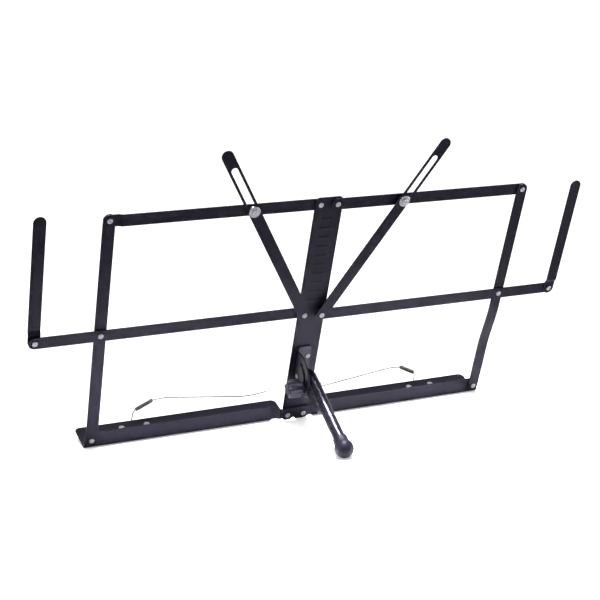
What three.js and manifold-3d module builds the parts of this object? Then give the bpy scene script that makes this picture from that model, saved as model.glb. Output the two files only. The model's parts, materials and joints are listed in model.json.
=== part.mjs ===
// Folding desk of a music stand, standing on its two ledges and on its short rear stem.
// Millimetres, +Z up. The reader's side faces -Y, and the reader's right is +X.
//
// The desk is drawn upright in its own frame: x to the reader's right, y out of its back, z up along
// the centre plate, with z = 0 at the two ledge pivots. One group then leans it back and stands it
// on z = 0.
import * as THREE from 'three';
import { mergeVertices } from 'three/addons/utils/BufferGeometryUtils.js';
import Module from 'manifold-3d';

const wasm = await Module();
wasm.setup();

// ---- driving dimensions -------------------------------------------------------------------------
const SHEET = 1.2;             // thickness of every stamped part
const PITCH = 1.5;             // distance between the middles of neighbouring layers
const GAP = 0.3;               // clearance between pieces
const HALF = 6.35;             // half the width of a bar
const PIVOT_X = 9.3;           // the two columns of pivots on the centre plate
const MID_Z = 128.5;           // height of the middle row of pivots
const TOP_Z = 257;             // height of the top row
const LINK = 220;              // pivot to pivot along each bar and ledge
const ARM_REACH = 66.2;        // how far the middle bar runs past its crossing
const ARM_LENGTH = 136;
const ARM_SPACER = 3.6;
const ARM_STEP = [7.5, 12.5];  // a side arm changes layer this far from its pivot
const CORNER_STEP = [13, 8];   // the right top bar does so this far before its corner
const SLOT_AT = 74;            // brace stud, along the top bar from its pivot
const SLOT_HALF = 2.3;
const FOLD_TRAVEL = 54.3;      // length of the brace slot
const BRACE_TIP = 17;          // brace beyond the end of its slot
const SHANK = 1.6;             // rivet shank radius
const HOLE = SHANK + GAP;
const HEAD = { radius: 2.7, height: 1.0 };
const SHELF_HEAD = { radius: 3.2, height: 1.1 };
const STUD_HEAD = { washer: 6, thick: 0.9, radius: 3.1, height: 1.1 };
const ROUND = 8;               // sides of a small round hole or rivet

const PLATE = { half: 15.65, bottom: -HALF, top: 265, corner: 5 };
const LEDGE = { end: 236.5, depth: 35.2, flange: 19.2, inner: 5.5, corner: 6 };
const SHELF_RIVETS = [159.5, 187.5];
const SHELF_RIVET_BACK = 24;   // from the ledge's rear face
const WIRE_X = 172.5;
const WIRE = 0.6;              // page holder wire radius
const COIL = 2.4;
const CLAMP = { gap: 2 * WIRE + 2 * GAP, half: 20, reach: 6 };
const NOTCH = { x: 2, radius: 2.6 };
const STRAP = { half: 16.4, top: 9.4 };

const TILT = { y: 9.8, z: 56.3 };        // tilt pivot
const EAR = { x: 9, radius: 27.5, thick: 1.5, slot: 18, slotHalf: 2.6 };
const BRACKET = { x0: -6.5, x1: EAR.x + EAR.thick / 2, z0: 46, z1: 88, rivets: [[-3, 76], [3, 50]] };
const STEM = { down: 16.6, offset: 8.5, radius: 6.5, wall: 1.1, end: 103 };
const FOOT = { radius: 10.2, centre: 105.4, neck: 13, lip: 1.1 };
const STEM_UP = 60;            // how far the stem turns up from where it stands
const MITRE_GAP = 1.7;         // between the web and the tube's cut end when it is turned up
const LUG = { x0: 4.5, x1: EAR.x - EAR.thick / 2 - GAP, radius: 6.6, end: 56 };
const BOLT_ANGLE = -8;
const BOLT = { shank: 2.2, head: 4.4, headX: -7.4, headThick: 3.2 };
const SLOT_ENDS = [BOLT_ANGLE - 5, BOLT_ANGLE + STEM.down + STEM_UP + 7];
const WASHER = { x0: EAR.x + EAR.thick / 2 + GAP, thick: 1.2, radius: 6.4 };
const KNOB = { x0: 14, x1: 29.5, radius: 11, hub: 6.2, lobes: 6, lobe: 3 };

// Layers, counted from the centre plate towards the back, for the reader's right and left halves.
const RIGHT = {
  name: 'right', side: 1, ledge: -4, tab: -1, upright: [-3, -3], mid: -2, top: [-1, -2],
  brace: 2, arm: [-4, -5], rearDrop: -10.3,
};
const LEFT = {
  name: 'left', side: -1, ledge: -2, tab: -2, upright: [-1, 2], mid: 3, top: [1, 1],
  brace: 4, arm: [4, 5],
};

const rad = THREE.MathUtils.degToRad;
const level = (n) => n * PITCH;
const rear = (n) => level(n) + SHEET / 2;

// The foot and the rear lower edge of the right ledge touch the table, which fixes the lean.
const stemDir = [Math.cos(rad(STEM.down)), -Math.sin(rad(STEM.down))];
const stemUp = [-stemDir[1], stemDir[0]];
const onStem = (s, n) => [
  TILT.y + stemDir[0] * s + stemUp[0] * n,
  TILT.z + stemDir[1] * s + stemUp[1] * n,
];
const [footY, footZ] = onStem(FOOT.centre, STEM.offset);
const rise = footZ - RIGHT.rearDrop;
const run = footY - rear(RIGHT.ledge);
const LEAN = Math.acos(FOOT.radius / Math.hypot(rise, run)) - Math.atan2(run, rise);
LEFT.rearDrop = RIGHT.rearDrop + (rear(LEFT.ledge) - rear(RIGHT.ledge)) * Math.tan(LEAN);

// ---- materials ----------------------------------------------------------------------------------
const finish = (color, roughness, metalness) => () =>
  new THREE.MeshStandardMaterial({ color, roughness, metalness });
const blackPaint = finish(0x26242a, 0.5, 0.3);
const zinc = finish(0xc9c9cc, 0.35, 0.9);
const springSteel = finish(0xb5b2ac, 0.3, 0.95);
const glossPaint = finish(0x1c1b20, 0.2, 0.2);
const plastic = finish(0x2c2b2f, 0.55, 0);
const rubber = finish(0x1d1c1f, 0.8, 0);

// ---- solids -------------------------------------------------------------------------------------
function solid(geometry) {
  const bare = geometry.index ? geometry.toNonIndexed() : geometry.clone();
  bare.deleteAttribute('normal');
  bare.deleteAttribute('uv');
  const merged = mergeVertices(bare, 1e-4);
  return new wasm.Manifold(new wasm.Mesh({
    numProp: 3,
    vertProperties: new Float32Array(merged.attributes.position.array),
    triVerts: new Uint32Array(merged.index.array),
  }));
}

function geometryOf(body) {
  const mesh = body.getMesh();
  const geometry = new THREE.BufferGeometry();
  geometry.setAttribute('position', new THREE.BufferAttribute(new Float32Array(mesh.vertProperties), 3));
  geometry.setIndex(new THREE.BufferAttribute(new Uint32Array(mesh.triVerts), 1));
  geometry.computeVertexNormals();
  return geometry;
}

// An outline drawn in x and z, as a sheet between two values of y.
function sheetY(shape, y0, y1, segments = 4) {
  const options = { depth: y1 - y0, bevelEnabled: false, curveSegments: segments };
  const geometry = new THREE.ExtrudeGeometry(shape, options);
  geometry.rotateX(Math.PI / 2);
  geometry.translate(0, y1, 0);
  return solid(geometry);
}

// An outline drawn in x and y, between two values of z.
function sheetZ(shape, z0, z1, segments = 4) {
  const options = { depth: z1 - z0, bevelEnabled: false, curveSegments: segments };
  const geometry = new THREE.ExtrudeGeometry(shape, options);
  geometry.translate(0, 0, z0);
  return solid(geometry);
}

// An outline drawn in y and z, between two values of x.
function sheetX(shape, x0, x1, segments = 8) {
  const options = { depth: x1 - x0, bevelEnabled: false, curveSegments: segments };
  const geometry = new THREE.ExtrudeGeometry(shape, options);
  geometry.rotateX(Math.PI / 2);
  geometry.rotateZ(Math.PI / 2);
  geometry.translate(x0, 0, 0);
  return solid(geometry);
}

function rectangle(x0, y0, x1, y1) {
  return new THREE.Shape([
    new THREE.Vector2(x0, y0), new THREE.Vector2(x1, y0),
    new THREE.Vector2(x1, y1), new THREE.Vector2(x0, y1),
  ]);
}

// A rectangle with its own radius at each corner, counted round from the low left one.
function rounded(x0, y0, x1, y1, radii) {
  const shape = new THREE.Shape();
  const [a, b, c, d] = radii;
  shape.moveTo(x0 + a, y0);
  shape.lineTo(x1 - b, y0);
  if (b) shape.absarc(x1 - b, y0 + b, b, -Math.PI / 2, 0);
  shape.lineTo(x1, y1 - c);
  if (c) shape.absarc(x1 - c, y1 - c, c, 0, Math.PI / 2);
  shape.lineTo(x0 + d, y1);
  if (d) shape.absarc(x0 + d, y1 - d, d, Math.PI / 2, Math.PI);
  shape.lineTo(x0, y0 + a);
  if (a) shape.absarc(x0 + a, y0 + a, a, Math.PI, Math.PI * 1.5);
  return shape;
}

const pill = (x0, x1, half) => rounded(x0 - half, -half, x1 + half, half, [half, half, half, half]);

function drillY(x, z, radius, reach = 40) {
  const geometry = new THREE.CylinderGeometry(radius, radius, 2 * reach, ROUND);
  geometry.translate(x, 0, z);
  return solid(geometry);
}

function drillZ(x, y, radius, z0, z1) {
  const geometry = new THREE.CylinderGeometry(radius, radius, z1 - z0, ROUND);
  geometry.rotateX(Math.PI / 2);
  geometry.translate(x, y, (z0 + z1) / 2);
  return solid(geometry);
}

// The edge view of a joggled sheet, from [distance, layer] pairs.
function stepped(steps) {
  const low = steps.map(([d, n]) => new THREE.Vector2(d, level(n) - SHEET / 2));
  const high = steps.map(([d, n]) => new THREE.Vector2(d, level(n) + SHEET / 2)).reverse();
  return new THREE.Shape([...low, ...high]);
}

// A bar: steps lists [distance, layer] along it, and each change of layer is a slanted joggle.
function bar({ at, angle, steps, ends, holes, slot, half = HALF }) {
  let body = sheetZ(stepped(steps), -half, half);
  body = body.intersect(sheetY(pill(ends[0], ends[1], half), -30, 30));
  for (const d of holes) body = body.subtract(drillY(d, 0, HOLE));
  if (slot) body = body.subtract(sheetY(pill(slot[0], slot[1], SLOT_HALF), -30, 30));
  const geometry = geometryOf(body);
  geometry.rotateY(-angle);
  geometry.translate(at[0], 0, at[1]);
  return geometry;
}

// A tubular rivet along y: the domed head is at the back, the rolled tail at the front.
function rivetProfile(front, back, { radius, height } = HEAD) {
  const f = front - GAP;
  const b = back + GAP;
  return [
    [0, f - height], [radius * 0.72, f - height], [radius, f - height * 0.45], [radius, f],
    [SHANK, f], [SHANK, b], [radius, b], [radius, b + height * 0.45],
    [radius * 0.72, b + height], [0, b + height],
  ].map(([r, y]) => new THREE.Vector2(r, y));
}

function rivet(x, z, front, back) {
  const geometry = new THREE.LatheGeometry(rivetProfile(front, back), ROUND);
  geometry.translate(x, 0, z);
  return geometryOf(solid(geometry));
}

function ringY(x, z, y0, y1, outer, inner) {
  const points = [[inner, y0], [outer, y0], [outer, y1], [inner, y1], [inner, y0]];
  const geometry = new THREE.LatheGeometry(points.map(([r, y]) => new THREE.Vector2(r, y)), 16);
  geometry.translate(x, 0, z);
  return geometryOf(solid(geometry));
}

// The washer and rolled head that keep a brace on its stud.
function studHead(x, z, y0) {
  const { washer, thick, radius, height } = STUD_HEAD;
  const y1 = y0 + thick;
  const points = [
    [0, y0], [washer, y0], [washer, y1], [radius, y1], [radius, y1 + height * 0.5],
    [radius * 0.7, y1 + height], [0, y1 + height],
  ];
  const geometry = new THREE.LatheGeometry(points.map(([r, y]) => new THREE.Vector2(r, y)), 16);
  geometry.translate(x, 0, z);
  return geometryOf(solid(geometry));
}

// ---- the scene ----------------------------------------------------------------------------------
const desk = new THREE.Group();
desk.rotation.x = -LEAN;

function piece(name, geometry, material) {
  const mesh = new THREE.Mesh(geometry, material());
  mesh.name = name;
  desk.add(mesh);
}

function centrePlate() {
  const { half, bottom, top, corner } = PLATE;
  const outline = rounded(-half, bottom, half, top, [HALF, HALF, corner, corner]);
  let body = sheetY(outline, -SHEET / 2, SHEET / 2);
  for (const x of [-PIVOT_X, PIVOT_X]) {
    for (const z of [0, MID_Z, TOP_Z]) body = body.subtract(drillY(x, z, HOLE));
  }
  for (const [x, z] of BRACKET.rivets) body = body.subtract(drillY(x, z, HOLE));
  body = body.subtract(drillY(NOTCH.x, bottom, NOTCH.radius));
  return geometryOf(body);
}

function pivotStrap() {
  const { half, top } = STRAP;
  const front = rear(0) + GAP;
  let body = sheetY(rounded(-half, -HALF, half, top, [HALF, HALF, 5, 5]), front, front + SHEET);
  for (const x of [-PIVOT_X, PIVOT_X]) body = body.subtract(drillY(x, 0, HOLE));
  body = body.subtract(drillY(NOTCH.x, -HALF, NOTCH.radius));
  return geometryOf(body);
}

// The ear's outline, in y and z: a quarter disc round the tilt pivot with its root along the web.
function earShape() {
  const root = rear(0) + GAP;
  const shape = new THREE.Shape();
  shape.moveTo(root, BRACKET.z0 + 2);
  shape.lineTo(TILT.y + EAR.radius * Math.cos(rad(-24)), TILT.z + EAR.radius * Math.sin(rad(-24)));
  shape.absarc(TILT.y, TILT.z, EAR.radius, rad(-24), rad(96));
  shape.lineTo(root, TILT.z + EAR.radius - 0.5);
  return shape;
}

// An arc slot round the tilt pivot, in y and z.
function arcSlot(from, to) {
  const shape = new THREE.Shape();
  const { slot: r, slotHalf: h } = EAR;
  const end = (angle) => [TILT.y + r * Math.cos(rad(angle)), TILT.z + r * Math.sin(rad(angle))];
  shape.absarc(TILT.y, TILT.z, r + h, rad(from), rad(to), false);
  shape.absarc(...end(to), h, rad(to), rad(to + 180), false);
  shape.absarc(TILT.y, TILT.z, r - h, rad(to), rad(from), true);
  shape.absarc(...end(from), h, rad(from + 180), rad(from + 360), false);
  return shape;
}

function circleYZ(radius, [y, z]) {
  const shape = new THREE.Shape();
  shape.absarc(y, z, radius, 0, 2 * Math.PI);
  return shape;
}

const boltAt = [
  TILT.y + EAR.slot * Math.cos(rad(BOLT_ANGLE)),
  TILT.z + EAR.slot * Math.sin(rad(BOLT_ANGLE)),
];

function tiltBracket() {
  const front = rear(0) + GAP;
  const { x0, x1, z0, z1 } = BRACKET;
  let body = sheetY(rounded(x0, z0, x1, z1, [3, 0, 0, 3]), front, front + EAR.thick);
  const ear0 = EAR.x - EAR.thick / 2;
  body = body.add(sheetX(earShape(), ear0, ear0 + EAR.thick, 12));
  for (const [x, z] of BRACKET.rivets) body = body.subtract(drillY(x, z, HOLE));
  body = body.subtract(sheetX(circleYZ(HOLE, [TILT.y, TILT.z]), 0, 20));
  body = body.subtract(sheetX(arcSlot(...SLOT_ENDS), 0, 20, 8));
  return geometryOf(body);
}

// Lug and tube are one piece: the lug lies against the ear and carries the pivot and the bolt.
function stemTube() {
  const along = (geometry) => {
    const [y, z] = onStem(0, STEM.offset);
    geometry.rotateX(-rad(STEM.down));
    geometry.translate(0, y, z);
    return solid(geometry);
  };
  const tube = (radius, from, to) => {
    const geometry = new THREE.CylinderGeometry(radius, radius, to - from, 18);
    geometry.translate(0, (from + to) / 2, 0);
    return along(geometry);
  };
  let body = tube(STEM.radius, -6, STEM.end);
  body = body.add(sheetX(lugShape(), LUG.x0, LUG.x1, 6));
  body = body.subtract(tube(STEM.radius - STEM.wall, 34, STEM.end + 5));
  body = body.subtract(sheetX(mitreShape(), -20, 20));
  body = body.subtract(sheetX(circleYZ(HOLE, [TILT.y, TILT.z]), -20, 20));
  body = body.subtract(sheetX(circleYZ(BOLT.shank + GAP, boltAt), -20, 20));
  return geometryOf(body);
}

function lugShape() {
  const r = LUG.radius;
  const [ty, tz] = onStem(LUG.end, STEM.offset - 4.4);
  const [uy, uz] = onStem(LUG.end, STEM.offset + 1);
  const [vy, vz] = onStem(4, STEM.offset + 4);
  const back = rad(180 - STEM.down);
  const shape = new THREE.Shape();
  shape.moveTo(vy, vz);
  shape.absarc(TILT.y, TILT.z, r, back - rad(30), back + rad(90), false);
  shape.absarc(...boltAt, r, rad(-100 - STEM.down), rad(-80), false);
  shape.lineTo(ty, tz);
  shape.lineTo(uy, uz);
  return shape;
}

// What the turned-up stem would drive into the web, drawn in y and z.
function mitreShape() {
  const up = rad(STEM.down + STEM_UP);
  const keep = TILT.y - (rear(0) + GAP + EAR.thick + MITRE_GAP);
  const corners = [[-80, keep], [80, keep], [80, 60], [-80, 60]];
  const turn = ([along, out]) => {
    const y = -out;
    return new THREE.Vector2(
      TILT.y + y * Math.cos(-up) - along * Math.sin(-up),
      TILT.z + y * Math.sin(-up) + along * Math.cos(-up),
    );
  };
  return new THREE.Shape(corners.map(turn));
}

function stemFoot() {
  const { radius: r, centre, neck, lip } = FOOT;
  const inner = STEM.radius + GAP;
  const start = centre - neck;
  const points = [new THREE.Vector2(inner, start), new THREE.Vector2(inner + lip, start)];
  const from = -Math.acos((inner + lip) / r);
  const steps = 8;
  for (let i = 0; i < steps; i += 1) {
    const a = from + (i / steps) * (Math.PI / 2 - from);
    points.push(new THREE.Vector2(r * Math.cos(a), centre + r * Math.sin(a)));
  }
  points.push(new THREE.Vector2(0, centre + r));
  points.push(new THREE.Vector2(0, STEM.end + GAP), new THREE.Vector2(inner, STEM.end + GAP));
  points.push(points[0].clone());
  const geometry = new THREE.LatheGeometry(points, 18);
  const [y, z] = onStem(0, STEM.offset);
  geometry.rotateX(-rad(STEM.down));
  geometry.translate(0, y, z);
  return geometryOf(solid(geometry));
}

// Turned parts along x, from [radius, x] pairs.
function latheX(points, [y, z], segments = 16) {
  const geometry = new THREE.LatheGeometry(points.map(([r, x]) => new THREE.Vector2(r, x)), segments);
  geometry.rotateZ(-Math.PI / 2);
  geometry.translate(0, y, z);
  return solid(geometry);
}

function clampBolt() {
  const { shank, head, headX, headThick } = BOLT;
  const end = KNOB.x1 - 4;
  return geometryOf(latheX([
    [0, headX - headThick], [head * 0.6, headX - headThick * 0.9], [head, headX - headThick * 0.4],
    [head, headX], [shank, headX], [shank, end], [0, end],
  ], boltAt));
}

function starKnob() {
  const { x0, x1, radius, hub, lobes, lobe } = KNOB;
  const shape = new THREE.Shape();
  const steps = lobes * 6;
  for (let i = 0; i <= steps; i += 1) {
    const a = (i / steps) * 2 * Math.PI;
    const r = radius - lobe * (0.5 - 0.5 * Math.cos(lobes * a));
    const [y, z] = [boltAt[0] + r * Math.cos(a), boltAt[1] + r * Math.sin(a)];
    if (i === 0) shape.moveTo(y, z);
    else if (i < steps) shape.lineTo(y, z);
  }
  const hubX = WASHER.x0 + WASHER.thick + GAP;
  let body = sheetX(shape, x0, x1);
  body = body.add(latheX([[0, hubX], [hub, hubX], [hub, x0 + 1], [0, x0 + 1]], boltAt, 20));
  body = body.subtract(sheetX(circleYZ(BOLT.shank + GAP, boltAt), 0, x1 - 3));
  return geometryOf(body);
}

function tiltPin() {
  const out = EAR.x + EAR.thick / 2 + GAP;
  const inside = LUG.x0 - GAP;
  return geometryOf(latheX([
    [0, inside - 1.1], [2.6, inside - 1.1], [2.6, inside], [SHANK, inside], [SHANK, out],
    [HEAD.radius, out], [HEAD.radius * 0.7, out + HEAD.height], [0, out + HEAD.height],
  ], [TILT.y, TILT.z]));
}

// ---- one half of the folding frame --------------------------------------------------------------
function ledge(half) {
  const { side, ledge: at, tab, rearDrop: drop } = half;
  const outerEnd = LEDGE.end;
  const top = drop + LEDGE.flange;
  const crank = tab === at ? [] : [[17, tab], [23, at]];
  const steps = [[PIVOT_X - 10, tab], ...crank, [outerEnd, at]];
  let body = sheetZ(stepped(steps), drop, top);
  const start = PIVOT_X - HALF;
  const tall = sheetY(rounded(24, drop, outerEnd, top, [0, 0, 2, 6]), -30, 30);
  const tongue = sheetY(rounded(start, -HALF, 34, HALF, [HALF, 0, 0, HALF]), -30, 30);
  body = body.intersect(tall.add(tongue));
  const back = rear(at);
  const { depth, inner, corner } = LEDGE;
  const plan = rounded(inner, back - depth, outerEnd, back, [corner, corner, 0, 0]);
  const notch = rectangle(0, back - SHEET - 1.6, 24, back + 1);
  let shelf = sheetZ(plan, drop, drop + SHEET);
  shelf = shelf.subtract(sheetZ(notch, drop - 1, drop + SHEET + 1));
  body = body.add(shelf);
  body = body.subtract(drillY(PIVOT_X, 0, HOLE)).subtract(drillY(PIVOT_X + LINK, 0, HOLE));
  for (const x of SHELF_RIVETS) {
    body = body.subtract(drillZ(x, back - SHELF_RIVET_BACK, HOLE, drop - 2, drop + 3));
  }
  return mirrored(body, side);
}

function mirrored(body, side) {
  return geometryOf(side > 0 ? body : body.mirror([1, 0, 0]));
}

function shelfRivet(half, x) {
  const { side, ledge: at, rearDrop: drop } = half;
  const clampLow = drop - CLAMP.gap - SHEET;
  const profile = rivetProfile(clampLow, drop + SHEET, SHELF_HEAD);
  const geometry = new THREE.LatheGeometry(profile, ROUND);
  geometry.rotateX(Math.PI / 2);
  geometry.translate(x, rear(at) - SHELF_RIVET_BACK, 0);
  return mirrored(solid(geometry), side);
}

// The plate under the ledge that traps the page holder's straight root.
function wireClamp(half) {
  const { side, ledge: layer, rearDrop: drop } = half;
  const y = rear(layer) - SHELF_RIVET_BACK;
  const z1 = drop - CLAMP.gap;
  const x = (SHELF_RIVETS[0] + SHELF_RIVETS[1]) / 2;
  const { half: long, reach } = CLAMP;
  let body = sheetZ(rounded(x - long, y - reach, x + long, y + reach, [3, 3, 3, 3]), z1 - SHEET, z1);
  for (const at of SHELF_RIVETS) body = body.subtract(drillZ(at, y, HOLE, z1 - 4, z1 + 2));
  return mirrored(body, side);
}

// A page holder: a root under the ledge, a rise past its front edge, a spring coil, and a long finger.
function pageHolder(half) {
  const { side, ledge: at, rearDrop: drop } = half;
  const front = rear(at) - LEDGE.depth - GAP - WIRE;
  const under = drop - GAP - WIRE;
  const root = new THREE.Vector3(WIRE_X, rear(at) - SHELF_RIVET_BACK + 5, under);
  const corner = new THREE.Vector3(WIRE_X, front, under);
  const coilLow = new THREE.Vector3(WIRE_X - 3, front, 3);
  const coilHigh = new THREE.Vector3(WIRE_X - 22, front, 13);
  const elbow = new THREE.Vector3(WIRE_X - 36, front, 14);
  const knee = new THREE.Vector3(40, front, 0);
  const tip = new THREE.Vector3(16, front, 3);
  const points = [root, corner, coilLow, coilHigh, elbow, knee, tip];
  let body = null;
  for (let i = 1; i < points.length; i += 1) {
    const straight = rod(points[i - 1], points[i], WIRE, 6);
    body = body ? body.add(straight) : straight;
    if (i < points.length - 1) body = body.add(ball(points[i], WIRE));
  }
  body = body.add(rod(coilLow, coilHigh, COIL, 10));
  return mirrored(body, side);
}

function rod(a, b, radius, sides) {
  const geometry = new THREE.CylinderGeometry(radius, radius, a.distanceTo(b), sides);
  const turn = new THREE.Quaternion();
  turn.setFromUnitVectors(new THREE.Vector3(0, 1, 0), b.clone().sub(a).normalize());
  geometry.applyQuaternion(turn);
  const middle = a.clone().lerp(b, 0.5);
  geometry.translate(middle.x, middle.y, middle.z);
  return solid(geometry);
}

function ball(at, radius) {
  const geometry = new THREE.IcosahedronGeometry(radius * 1.04, 0);
  geometry.translate(at.x, at.y, at.z);
  return solid(geometry);
}

function foldingHalf(half) {
  const { name, side } = half;
  const outward = side > 0 ? 0 : Math.PI;
  const x = (d) => side * (PIVOT_X + d);
  const low = (n) => level(n) - SHEET / 2;

  piece(`ledge_${name}`, ledge(half), blackPaint);
  piece(`top_bar_${name}`, bar({
    at: [x(0), TOP_Z], angle: outward, ends: [0, LINK], holes: [0, SLOT_AT, LINK],
    steps: half.top[0] === half.top[1]
      ? [[-HALF, half.top[0]], [LINK + HALF, half.top[0]]]
      : [[-HALF, half.top[0]], [LINK - CORNER_STEP[0], half.top[0]],
        [LINK - CORNER_STEP[1], half.top[1]], [LINK + HALF, half.top[1]]],
  }), blackPaint);
  const midEnd = LINK + ARM_REACH;
  piece(`middle_bar_${name}`, bar({
    at: [x(0), MID_Z], angle: outward, ends: [0, midEnd], holes: [0, LINK, midEnd],
    steps: [[-HALF, half.mid], [midEnd + HALF, half.mid]],
  }), blackPaint);
  const [foot, head] = half.upright;
  piece(`upright_${name}`, bar({
    at: [x(LINK), 0], angle: Math.PI / 2, ends: [0, TOP_Z], holes: [0, MID_Z, TOP_Z],
    steps: foot === head
      ? [[-HALF, foot], [TOP_Z + HALF, foot]]
      : [[-HALF, foot], [55, foot], [110, head], [TOP_Z + HALF, head]],
  }), blackPaint);
  const studUp = TOP_Z - MID_Z;
  const slotFrom = Math.hypot(SLOT_AT, studUp);
  const braceAngle = Math.atan2(studUp, side * SLOT_AT);
  const braceEnd = slotFrom + FOLD_TRAVEL + BRACE_TIP;
  piece(`brace_${name}`, bar({
    at: [x(0), MID_Z], angle: braceAngle, ends: [0, braceEnd], holes: [0],
    slot: [slotFrom, slotFrom + FOLD_TRAVEL],
    steps: [[-HALF, half.brace], [braceEnd + HALF, half.brace]],
  }), blackPaint);
  const [armRoot, armRun] = half.arm;
  piece(`side_arm_${name}`, bar({
    at: [x(midEnd), MID_Z], angle: Math.PI / 2, ends: [0, ARM_LENGTH - HALF], holes: [0],
    steps: [[-HALF, armRoot], [ARM_STEP[0], armRoot], [ARM_STEP[1], armRun], [ARM_LENGTH, armRun]],
  }), blackPaint);

  const layers = (...n) => [low(Math.min(...n)), rear(Math.max(...n))];
  const zincRivet = (label, d, z, ...n) => {
    piece(`${label}_${name}`, rivet(x(d), z, ...layers(...n)), zinc);
  };
  zincRivet('ledge_pivot_rivet', 0, 0, half.tab, 1);
  zincRivet('middle_pivot_rivet', 0, MID_Z, 0, half.mid, half.brace);
  zincRivet('top_pivot_rivet', 0, TOP_Z, 0, half.top[0]);
  zincRivet('ledge_end_rivet', LINK, 0, half.ledge, foot);
  zincRivet('top_corner_rivet', LINK, TOP_Z, half.top[1], head);
  zincRivet('crossing_rivet', LINK, MID_Z, half.mid, head);
  zincRivet('arm_rivet', midEnd, MID_Z, half.mid, armRoot);

  const stud = Math.min(half.top[0], half.brace);
  piece(`brace_spacer_${name}`,
    ringY(x(SLOT_AT), TOP_Z, rear(stud) + GAP, low(half.brace) - GAP, 4.2, HOLE), zinc);
  piece(`brace_washer_${name}`, studHead(x(SLOT_AT), TOP_Z, rear(half.brace) + GAP), zinc);
  if (Math.abs(armRoot - half.mid) > 1) {
    const [y0, y1] = [rear(armRoot) + GAP, low(half.mid) - GAP];
    piece(`arm_spacer_${name}`, ringY(x(midEnd), MID_Z, y0, y1, ARM_SPACER, HOLE), zinc);
  }

  for (const [i, at] of SHELF_RIVETS.entries()) {
    piece(`clamp_rivet_${name}_${i + 1}`, shelfRivet(half, at), zinc);
  }
  piece(`wire_clamp_${name}`, wireClamp(half), blackPaint);
  piece(`page_holder_${name}`, pageHolder(half), springSteel);
}

function spacers() {
  const across = (from, to) => [rear(from) + GAP, level(to) - SHEET / 2 - GAP];
  const ring = (x, z, from, to) => ringY(x, z, ...across(from, to), 4.6, HOLE);
  piece('middle_spacer_front_right', ring(PIVOT_X, MID_Z, RIGHT.mid, 0), zinc);
  piece('middle_spacer_back_right', ring(PIVOT_X, MID_Z, 0, RIGHT.brace), zinc);
  piece('middle_spacer_back_left', ring(-PIVOT_X, MID_Z, 0, LEFT.mid), zinc);
  piece('ledge_spacer_left', ring(-PIVOT_X, 0, LEFT.tab, 0), zinc);
}

function tiltingStem() {
  piece('tilt_bracket', tiltBracket(), glossPaint);
  BRACKET.rivets.forEach(([x, z], i) => {
    const back = rear(0) + GAP + EAR.thick;
    piece(`bracket_rivet_${i + 1}`, rivet(x, z, -SHEET / 2, back), zinc);
  });
  piece('tilt_pin', tiltPin(), zinc);
  piece('stem_tube', stemTube(), glossPaint);
  piece('stem_foot', stemFoot(), rubber);
  piece('clamp_bolt', clampBolt(), blackPaint);
  const { x0, thick, radius } = WASHER;
  piece('clamp_washer', geometryOf(latheX([
    [BOLT.shank + GAP, x0], [radius, x0], [radius, x0 + thick], [BOLT.shank + GAP, x0 + thick],
    [BOLT.shank + GAP, x0],
  ], boltAt, 20)), blackPaint);
  piece('star_knob', starKnob(), plastic);
}

piece('centre_plate', centrePlate(), blackPaint);
piece('pivot_strap', pivotStrap(), blackPaint);
spacers();
foldingHalf(RIGHT);
foldingHalf(LEFT);
tiltingStem();

// Stand the leaning desk on z = 0 with its bounding box centred on the origin.
const group = new THREE.Group();
group.add(desk);
group.updateMatrixWorld(true);
const box = new THREE.Box3().setFromObject(group, true);
desk.position.set(-(box.min.x + box.max.x) / 2, -(box.min.y + box.max.y) / 2, -box.min.z);
group.updateMatrixWorld(true);

export default group;
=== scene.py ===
"""Looks of the folding music stand desk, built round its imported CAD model."""

import json
import math

import bmesh
import bpy
from mathutils import Matrix, Vector


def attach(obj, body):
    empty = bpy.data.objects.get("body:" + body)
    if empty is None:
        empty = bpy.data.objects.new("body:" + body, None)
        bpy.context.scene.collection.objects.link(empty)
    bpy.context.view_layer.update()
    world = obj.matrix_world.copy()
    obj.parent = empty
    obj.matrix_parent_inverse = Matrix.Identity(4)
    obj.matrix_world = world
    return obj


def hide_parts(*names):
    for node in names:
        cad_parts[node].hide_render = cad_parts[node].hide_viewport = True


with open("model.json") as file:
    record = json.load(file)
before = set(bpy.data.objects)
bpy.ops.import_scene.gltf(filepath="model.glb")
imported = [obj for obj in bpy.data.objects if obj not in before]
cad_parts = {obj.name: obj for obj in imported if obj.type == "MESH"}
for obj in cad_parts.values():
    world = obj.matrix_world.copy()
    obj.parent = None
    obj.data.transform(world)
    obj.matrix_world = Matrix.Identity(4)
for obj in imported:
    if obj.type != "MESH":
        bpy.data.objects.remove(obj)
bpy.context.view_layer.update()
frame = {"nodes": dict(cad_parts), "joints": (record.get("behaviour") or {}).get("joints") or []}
MM = 0.001

# ---- the desk's own frame ----------------------------------------------------------------------
# x runs to the reader's right, y out of the back of the desk and z up the centre plate. Its origin is
# midway between the two ledge pivots, in the middle layer of the plate. Lengths in it are millimetres.
JOINTS = {j["name"]: j for j in frame["joints"]}


def joint_point(name):
    return Vector(JOINTS[name]["pos_m"])


X_AXIS = Vector(JOINTS["stem_tilt"]["axis"])
Y_AXIS = -Vector(JOINTS["fold_right"]["axis"])
Z_AXIS = X_AXIS.cross(Y_AXIS)
ORIGIN = (joint_point("fold_right") + joint_point("fold_left")) / 2
TURN = Matrix((X_AXIS, Y_AXIS, Z_AXIS)).transposed().to_4x4()
TO_ROW = Matrix.Translation(ORIGIN) @ TURN @ Matrix.Scale(MM, 4)
TO_DESK = TO_ROW.inverted()


def desk_point(name):
    return TO_DESK @ joint_point(name)


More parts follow.
